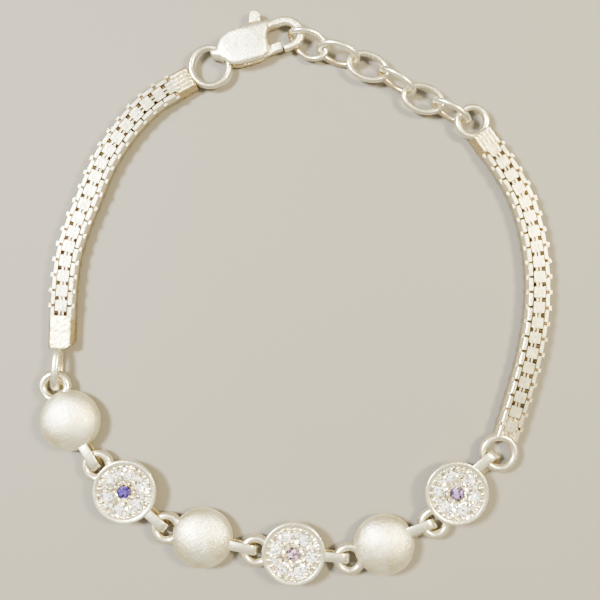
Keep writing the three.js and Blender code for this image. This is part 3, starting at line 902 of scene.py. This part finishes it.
class MakeDiscs(bpy.types.Operator):
    """Model the three discs: cup, loops, ring of stones, prongs and middle stone"""

    bl_idname = "bracelet.make_discs"
    bl_label = "Discs"

    def execute(self, context):
        size = context.scene.bracelet_discs
        loops = context.scene.bracelet_loops
        face = size.height - size.face_drop
        inner = size.radius - size.rim
        cup = turned("cup_pattern", [
            (size.base_radius - 0.1 * MM, 0), (size.base_radius, 0.06 * MM),
            (size.radius, size.wall_height), (size.radius, size.height - 0.16 * MM),
            (size.radius - 0.02 * MM, size.height - 0.05 * MM),
            (size.radius - 0.07 * MM, size.height - 0.01 * MM), (size.radius - 0.12 * MM, size.height),
            (inner + 0.06 * MM, size.height), (inner + 0.02 * MM, size.height - 0.03 * MM),
            (inner - 0.02 * MM, face), (size.seat_radius + 0.1 * MM, face),
            (size.seat_radius + 0.06 * MM, face + 0.07 * MM), (size.seat_radius, face + 0.07 * MM),
            (size.seat_radius - 0.03 * MM, face - 0.3 * MM), (0.2 * MM, face - 0.45 * MM)], CUP_SIDES)
        hand_worked(cup, 0.045, 1.6, 50)
        ring, strip = ring_loop_pattern(loops), strip_loop_pattern(loops)
        stone = stone_pattern("stone_pattern", size.pave_radius, 0.56, 0.2 * MM)
        small_stone = stone_pattern("small_stone_pattern", size.small_radius, 0.5, 0.12 * MM)
        middle = stone_pattern("middle_stone_pattern", size.stone_radius, 0.56, 0.23 * MM)
        prong, edge_prong = prong_pattern(size.prong_radius), prong_pattern(size.edge_radius)
        random.seed(11)
        for number, tint in ((1, "deep"), (2, "pale"), (3, "mid")):
            node, seat = f"disc_link_{number}", f"middle_stone_{number}"
            low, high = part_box(seat)
            centre = Vector(((low.x + high.x) / 2, (low.y + high.y) / 2, 0))
            body = copied(cup, f"disc_{number}_cup", turn_about_z(number, centre))
            dressed(body, "polished", replaces=(node,))
            # The face takes the setting's painted glints and painted shade.
            body.data.materials.append(finish("setting")[0])
            for facet in body.data.polygons:
                if facet.normal.z > 0.9 and (facet.center - centre).xy.length < inner - 0.05 * MM:
                    facet.material_index = 1
            pair = soldered_loops(f"disc_{number}_loops", node, centre, ring, strip, loops)
            dressed(pair, "polished")
            stones, prongs = [], []
            for table, _ in plate_centres(node, size.table_top):
                turn, circle = heading(table - centre), (table - centre).xy.length
                gap = turn + FULL_TURN / (2 * RING_STONES)
                stones.append(set_on(stone, centre, turn, circle, face + STONE_LIFT))
                stones.append(set_on(small_stone, centre, gap, SMALL_STONE_CIRCLE * MM,
                                     face + SMALL_STONE_LIFT))
                for aside, reach in GAP_PRONGS:
                    prongs.append(set_on(prong, centre, gap + aside, reach * MM,
                                         face + GAP_PRONG_LIFT))
                for aside, reach in INNER_PRONGS:
                    prongs.append(set_on(prong, centre, turn + aside, reach * MM,
                                         face + INNER_PRONG_LIFT))
            for bead, _ in plate_centres(node, size.prong_top):
                prongs.append(set_on(edge_prong, centre, heading(bead - centre),
                                     (bead - centre).xy.length, face))
            dressed(one_of(stones, f"disc_{number}_stones"), "clear")
            dressed(one_of(prongs, f"disc_{number}_prongs"), "prong")
            violet = copied(middle, f"disc_{number}_middle_stone",
                            turn_about_z(0.4 * number, centre + UP * (face + 0.02 * MM)))
            dressed(violet, tint, replaces=(seat,))
        discarded(cup, ring, strip, stone, small_stone, middle, prong, edge_prong)
        return {"FINISHED"}


PLATE_WIRES = 3
# Pips at the edge beside a wide plate.
PIP_INSET, PIP_HALF_WIDTH, PIP_HALF_LENGTH = 0.19 * MM, 0.18 * MM, 0.27 * MM
PIP_FOOT, PIP_DROP = 0.3 * MM, 0.22 * MM
BAR_DROP = 0.2 * MM
# The dark core, coloured as painted shade in the band's holes: how far it lies inside the band's edge,
# foot and top, and the share of a row's pitch that it reaches each way.
CORE_INSET, CORE_FOOT, CORE_DROP, CORE_REACH = 0.3 * MM, 0.3 * MM, 0.45 * MM, 0.54
# Ridges of a solder-filled end: half their width, depth and stand, and the grooves between them.
RIDGES, RIDGE_HALF, RIDGE_DEPTH, RIDGE_STAND = 5, 0.15 * MM, 0.5 * MM, 0.04 * MM
GROOVE = 0.12 * MM
LEAST_STATIONS = 10


def plate_pattern(size):
    """A wide middle plate: three long wires laid side by side, their edges slightly broken."""
    wide = size.middle_width / PLATE_WIRES
    half = size.plate_length / 2
    parts = []
    for i in range(PLATE_WIRES):
        left = -size.middle_width / 2 + i * wide
        wire = block(f"plate_wire_{i}", (left, -half, 0.25 * MM), (left + wide, half, size.height))
        parts.append(softened(wire, 0.035 * MM, 1))
    return crisp(one_of(parts, "plate_pattern"))


def corner_pattern(size):
    """A plate folded round the +X edge of the band."""
    edge = size.width / 2
    half = size.corner_length / 2
    plate = block("corner_pattern", (size.corner_inside, -half, 0), (edge, half, size.height))

    def outer_long(e):
        a, b = (plate.data.vertices[i].co for i in e.vertices)
        return a.x > edge - CLOSE and b.x > edge - CLOSE and abs(a.y - b.y) > half

    with editing(plate, "edges", outer_long):
        bevelled(size.corner_fold)
    squeeze = (edge - size.corner_top) / size.corner_fold
    folded = edge - size.corner_fold - CLOSE
    with editing(plate, "vertices", lambda v: folded < v.co.x < edge - CLOSE):
        scaled((squeeze, 1, 1), (edge, 0, 0))
    tidied(plate)
    return crisp(softened(plate, 0.04 * MM, 1, 25))


def row_patterns(size):
    """The row of a wide plate and the row of thin bars, each one object about the origin."""
    plate = plate_pattern(size)
    edge = size.width / 2
    pips = []
    for side in (-1, 1):
        across = side * (edge - PIP_INSET)
        pip = block(f"pip_{side}", (across - PIP_HALF_WIDTH, -PIP_HALF_LENGTH, PIP_FOOT),
                    (across + PIP_HALF_WIDTH, PIP_HALF_LENGTH, size.height - PIP_DROP))
        pips.append(crisp(softened(pip, 0.04 * MM, 1)))
    plate_row = one_of([plate, *pips], "plate_row")
    corner = corner_pattern(size)
    other = copied(corner, "corner_left", Matrix.Rotation(math.pi, 4, "Z"))
    bars = []
    for side in (-1, 1):
        inside, outside = sorted((side * size.bar_inside, side * size.bar_outside))
        bar = block(f"bar_{side}", (inside, -size.bar_length / 2, 0.5 * size.height),
                    (outside, size.bar_length / 2, size.height - BAR_DROP))
        bars.append(crisp(softened(bar, 0.03 * MM, 1)))
    bar_row = one_of([corner, other, *bars], "bar_row")
    return plate_row, bar_row


def core_pattern(size, pitch):
    """The inside of one row, dark as painted shade in the band's holes."""
    half = size.width / 2 - CORE_INSET
    core = block("core_pattern", (-half, -pitch * CORE_REACH, CORE_FOOT),
                 (half, pitch * CORE_REACH, size.height - CORE_DROP))
    return softened(core, 0.1 * MM, 2)


def end_pattern(name, size, width, reach, top, ridges=0, cut=0.0):
    """A solder-filled end, from y = 0 to its reach, with lengthwise ridges and a cut corner."""
    half = width / 2
    body = block(name, (-half, 0, 0.05 * MM), (half, reach, top - GROOVE if ridges else top))

    def ends(edge):
        return [body.data.vertices[i].co for i in edge.vertices]

    if cut:
        with editing(body, "edges", lambda e: all(
                co.x < 0 and co.y > 0.5 * reach for co in ends(e))):
            bevelled(cut)
    share = (size.width / 2 - size.corner_top) / size.corner_fold
    for side in (-1, 1):
        with editing(body, "edges", lambda e: all(
                side * co.x > half - CLOSE and co.z > size.corner_fold for co in ends(e))):
            bevelled(size.corner_fold)
        folded = half - size.corner_fold - CLOSE
        with editing(body, "vertices", lambda v: folded < side * v.co.x < half - CLOSE):
            scaled((share, 1, 1), (side * half, 0, 0))
    softened(body, 0.1 * MM, 2, 20)
    parts = [body]
    for i in range(ridges):
        across = (i - (ridges - 1) / 2) * 2 * size.corner_top / ridges
        ridge = block(f"ridge_{i}", (across - RIDGE_HALF, 0.1 * MM, top - RIDGE_DEPTH),
                      (across + RIDGE_HALF, reach - 0.16 * MM, top + RIDGE_STAND))
        parts.append(softened(ridge, 0.09 * MM, 2))
    end = one_of(parts, name)
    modified(end, "REMESH", mode="VOXEL", voxel_size=0.05 * MM)
    modified(end, "SMOOTH", factor=0.6, iterations=2)
    return hand_worked(end, 0.06, 0.45, 180)


def row_at(pattern, place, along):
    """A copy of a row's pattern, set across a band that runs along a direction."""
    return copied(pattern, "row", turn_about_z(heading(along) - QUARTER_TURN, place))


class MakeBands(bpy.types.Operator):
    """Model the two box-mesh bands row by row, with their solder-filled ends"""

    bl_idname = "bracelet.make_bands"
    bl_label = "Bands"

    def execute(self, context):
        size = context.scene.bracelet_bands
        plate_row, bar_row = row_patterns(size)
        for node in ("band_left", "band_right"):
            stations = band_stations(node, size)
            if len(stations) < LEAST_STATIONS:
                raise RuntimeError(f"{node} shows only {len(stations)} plates")
            pitch = (stations[1][0] - stations[0][0]).length
            core = core_pattern(size, pitch)
            filled = node == "band_left"
            rows, cores = [], []
            for i, (middle, along) in enumerate(stations):
                if i > 0 or not filled:
                    rows.append(row_at(plate_row, middle, along))
                cores.append(row_at(core, middle, along))
                if i + 1 < len(stations):
                    after = stations[i + 1][0]
                    between = (middle + after) / 2
                    rows.append(row_at(bar_row, between, after - middle))
                    cores.append(row_at(core, between, after - middle))
            first, out = stations[0][0], -stations[0][1]
            if filled:
                start = first - out * size.filling
                reach = size.bead_block + pitch / 2 + size.filling
                bead_end = end_pattern("bead_end_pattern", size, size.block_width, reach,
                                       size.height, cut=size.corner_cut)
            else:
                start = first + out * 0.2 * pitch
                reach = size.bead_block + 0.3 * pitch
                bead_end = end_pattern("bead_end_pattern", size, size.sunk_width, reach,
                                       size.height - size.sunk)
                for pattern, pitches in ((bar_row, 0.5), (plate_row, 1), (bar_row, 1.5)):
                    rows.append(row_at(pattern, first + out * pitch * pitches, out))
            ends = [row_at(bead_end, start, out)]
            last, out = stations[-1]
            clasp_end = end_pattern("clasp_end_pattern", size, size.block_width,
                                    size.clasp_block + pitch / 2 - 0.3 * size.filling,
                                    size.height, RIDGES)
            ends.append(row_at(clasp_end, last + out * 0.3 * size.filling, out))
            dressed(one_of(rows, node + "_mesh"), "mesh", replaces=(node,))
            # The cores carry painted shade in the band's holes.
            dressed(one_of(cores, node + "_core"), "core")
            dressed(one_of(ends, node + "_ends"), "solder")
            discarded(core, bead_end, clasp_end)
        discarded(plate_row, bar_row)
        return {"FINISHED"}


def soldered_ring(name, middle, outer, wire):
    """A wire ring lying flat round a point."""
    bpy.ops.mesh.primitive_torus_add(major_radius=(outer - wire) / 2, minor_radius=wire / 2,
                                     major_segments=64, minor_segments=16, location=middle)
    return hand_worked(fresh(name), 0.05, 1.3, 60)


def standing_oval(name, long, high, wire, width):
    """A closed oval of flattened wire in the XZ plane, its long axis along X."""
    bpy.ops.curve.primitive_bezier_circle_add(radius=1, location=(0, 0, 0),
                                              rotation=(QUARTER_TURN, 0, 0))
    curve = bpy.context.object
    curve.scale = ((long - wire) / 2, (high - wire) / 2, 1)
    choose(curve)
    bpy.ops.object.transform_apply(location=True, rotation=True, scale=True)
    for point in curve.data.splines[0].bezier_points:
        point.radius = 1
    curve.data.resolution_u = 12
    curve.data.bevel_resolution = 4
    curve.data.bevel_depth = wire / 2
    bpy.ops.object.convert(target="MESH")
    eye = fresh(name)
    with editing(eye, "vertices", lambda v: True):
        scaled((1, width / wire, 1))
    return hand_worked(tidied(eye), 0.03, 1.1, 60)


# How far under the standing eye's top a corner still belongs to it alone.
EYE_TOP = 0.25 * MM


class MakeRings(bpy.types.Operator):
    """Model the rings and the standing eye that are soldered to the bands"""

    bl_idname = "bracelet.make_rings"
    bl_label = "Rings"

    def execute(self, context):
        size = context.scene.bracelet_rings
        left, right = cad_points("band_left"), cad_points("band_right")
        rings = []
        for name, points, way, outer, wire in (
                ("clasp_ring", left, FORWARD, size.clasp_outer, size.clasp_wire),
                ("chain_ring", right, FORWARD, size.chain_outer, size.chain_wire),
                ("disc_ring", right, -FORWARD, size.disc_outer, size.disc_wire)):
            middle = farthest(points, way) - way * outer / 2
            rings.append(soldered_ring(name, middle, outer, wire))
        end = farthest(left, -FORWARD)
        eye = standing_oval("standing_eye", size.eye_length, size.eye_height, size.eye_wire,
                            size.eye_width)
        high = mean([p for p in left if p.z > size.eye_height - EYE_TOP])
        along = flat(high - end).normalized()
        centre = flat(end) + along * size.eye_length / 2 + UP * size.eye_height / 2
        eye.data.transform(turn_about_z(heading(along), centre))
        for ring in (*rings, eye):
            dressed(ring, "polished")
        return {"FINISHED"}


EXTENSION_LINKS = 6
# How much thicker a finished link's wire is than the frame's, as a share of the wire.
LINK_GROWTH = 0.16


class MakeExtension(bpy.types.Operator):
    """Model the six oval links of the extension chain"""

    bl_idname = "bracelet.make_extension"
    bl_label = "Extension links"

    def execute(self, context):
        size = context.scene.bracelet_rings
        for number in range(1, EXTENSION_LINKS + 1):
            node = f"extension_link_{number}"
            link = node_copy(node, f"oval_link_{number}")
            with editing(link, "polygons", lambda f: True):
                bpy.ops.mesh.tris_convert_to_quads(face_threshold=1.2, shape_threshold=1.5)
                bpy.ops.transform.shrink_fatten(value=LINK_GROWTH * size.link_wire)
            modified(link, "SUBSURF", levels=2, render_levels=2)
            hand_worked(link, 0.03, 0.9, 180)
            dressed(link, "polished", replaces=(node,))
        return {"FINISHED"}


def node_copy(node, name):
    """A loose copy of a node's mesh, ready to be worked on."""
    piece = copied(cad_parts[node], name)
    piece.parent = None
    for key in list(piece.keys()):
        del piece[key]
    piece.matrix_world = Matrix.Identity(4)
    piece.hide_render = False
    return tidied(piece, 0.002 * MM)


def cast_form(node, name, voxel, rounds):
    """A cast piece: the node's own form, its edges rounded as casting and tumbling leave them."""
    piece = node_copy(node, name)
    modified(piece, "REMESH", mode="VOXEL", voxel_size=voxel)
    return modified(piece, "SMOOTH", factor=0.7, iterations=rounds)


# The casting's crown: its height, and the shares of the face's reach that it lifts and fades over.
CROWN, CROWN_TOP, CROWN_REACH = 0.24 * MM, 0.4, 0.75


class MakeClasp(bpy.types.Operator):
    """Model the lobster clasp's cast body and its lever"""

    bl_idname = "bracelet.make_clasp"
    bl_label = "Clasp"

    def execute(self, context):
        flat_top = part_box("clasp_body")[1].z
        body = cast_form("clasp_body", "clasp_casting", 0.06 * MM, 8)
        points = [p for p in cad_points("clasp_body") if p.z > flat_top - CLOSE]
        middle = mean(points)
        reach = max((p - middle).xy.length for p in points)
        rounded = body.vertex_groups.new(name="rounded")
        rounded.add([v.index for v in body.data.vertices
                     if (v.co - middle).xy.length < reach + 0.3 * MM], 1.0, "REPLACE")
        modified(body, "SMOOTH", factor=0.7, iterations=40, vertex_group="rounded")
        with editing(body, "vertices", lambda v: v.co.z > flat_top - 0.2 * MM
                     and (v.co - middle).xy.length < CROWN_TOP * reach):
            bpy.ops.transform.translate(
                value=(0, 0, CROWN), use_proportional_edit=True,
                proportional_edit_falloff="SMOOTH", proportional_size=CROWN_REACH * reach)
        hand_worked(body, 0.03, 1.5, 180)
        dressed(body, "cast", replaces=("clasp_body",))
        lever = cast_form("clasp_lever", "clasp_thumb_lever", 0.05 * MM, 6)
        smooth(lever, 180)
        dressed(lever, "cast", LEVER_BODY, replaces=("clasp_lever",))
        return {"FINISHED"}


# Name, place, width, power and tint of each studio light.
LIGHTS = (
    ("key_light", (-0.19, 0.07, 0.3), 0.07, 6.0, (1, 1, 0.92)),
    ("warm_light", (0.19, 0.05, 0.28), 0.07, 3.6, (1, 0.86, 0.5)),
    ("top_light", (-0.03, 0.06, 0.45), 0.4, 0.34, (1, 0.94, 0.7)),
)
# The studio's walls: how far up each colour stands, from level to overhead.
WALLS = ((0.0, (0.36, 0.29, 0.2)), (0.3, (0.9, 0.82, 0.64)), (0.75, (1, 0.94, 0.75)))
WALL_STRENGTH = 0.95
FLOOR_CLOUD = 0.96
FLOOR_ROUGHNESS = 0.7


def soft_light(name, place, width, power, tint):
    """A square studio light aimed at the origin."""
    data = bpy.data.lights.new(name, "AREA")
    data.shape = "SQUARE"
    data.size = width
    data.energy = power
    data.color = tint
    lamp = bpy.data.objects.new(name, data)
    bpy.context.scene.collection.objects.link(lamp)
    lamp.location = place
    lamp.rotation_euler = (-Vector(place)).to_track_quat("-Z", "Y").to_euler()


def ramp(tree, factor, stops):
    """A colour through (position, colour) stops."""
    node = placed(tree, "ShaderNodeValToRGB", {"Fac": factor})
    elements = node.color_ramp.elements
    while len(elements) < len(stops):
        elements.new(1.0)
    for element, (position, tint) in zip(elements, stops):
        element.position = position
        element.color = (*tint, 1)
    return node.outputs["Color"]


class MakeStage(bpy.types.Operator):
    """Set the pale floor, soft studio lights and the camera"""

    bl_idname = "bracelet.make_stage"
    bl_label = "Stage"

    def execute(self, context):
        size = context.scene.bracelet_stage
        scene = context.scene
        bpy.ops.mesh.primitive_plane_add(size=size.floor, location=(0, 0, CAD_BOX[0][2]))
        floor = fresh("floor")
        material, tree, shader = bare_material("pale floor")
        cloud = noise(tree, object_place(tree), Scale=60.0, Detail=3.0)
        pale = tuple(size.floor_colour)
        tone = mixed(tree, cloud, (*pale, 1), (*(FLOOR_CLOUD * c for c in pale), 1))
        fed(tree, shader, {"Base Color": tone, "Roughness": FLOOR_ROUGHNESS})
        floor.data.materials.append(material)
        for light in LIGHTS:
            soft_light(*light)
        world = scene.world or bpy.data.worlds.new("studio")
        scene.world = world
        world.use_nodes = True
        sky = world.node_tree
        way = placed(sky, "ShaderNodeTexCoord").outputs["Generated"]
        height = placed(sky, "ShaderNodeSeparateXYZ", {0: way}).outputs["Z"]
        fed(sky, sky.nodes["Background"], {
            "Color": ramp(sky, height, WALLS), "Strength": WALL_STRENGTH})
        data = bpy.data.cameras.new("camera")
        data.lens = size.lens
        data.clip_start = 0.001
        camera = bpy.data.objects.new("camera", data)
        scene.collection.objects.link(camera)
        camera.location = (size.camera_x, size.camera_y, size.camera_height)
        scene.camera = camera
        return {"FINISHED"}


STEPS = (MakeBeads, MakeDiscs, MakeBands, MakeRings, MakeExtension, MakeClasp, MakeStage)


class BraceletPanel(bpy.types.Panel):
    """Lists the bracelet's pieces and their sizes"""

    bl_idname = "VIEW3D_PT_bracelet"
    bl_label = "Link bracelet"
    bl_space_type = "VIEW_3D"
    bl_region_type = "UI"
    bl_category = "Bracelet"

    def draw(self, context):
        for step in STEPS:
            self.layout.operator(step.bl_idname)
        for name in SETTINGS:
            group = getattr(context.scene, name)
            box = self.layout.box()
            for key in group.__annotations__:
                box.prop(group, key)


def register():
    """Registers the property groups, operators and panel."""
    for name, kind in SETTINGS.items():
        bpy.utils.register_class(kind)
        setattr(bpy.types.Scene, name, bpy.props.PointerProperty(type=kind))
    for kind in (*STEPS, BraceletPanel):
        bpy.utils.register_class(kind)


def unregister():
    """Takes all of them out again."""
    for kind in reversed((*STEPS, BraceletPanel)):
        bpy.utils.unregister_class(kind)
    for name, kind in reversed(tuple(SETTINGS.items())):
        delattr(bpy.types.Scene, name)
        bpy.utils.unregister_class(kind)


def main():
    """Builds every piece and the stage."""
    register()
    for step in STEPS:
        area, action = step.bl_idname.split(".")
        getattr(getattr(bpy.ops, area), action)()


if __name__ == "__main__":
    main()
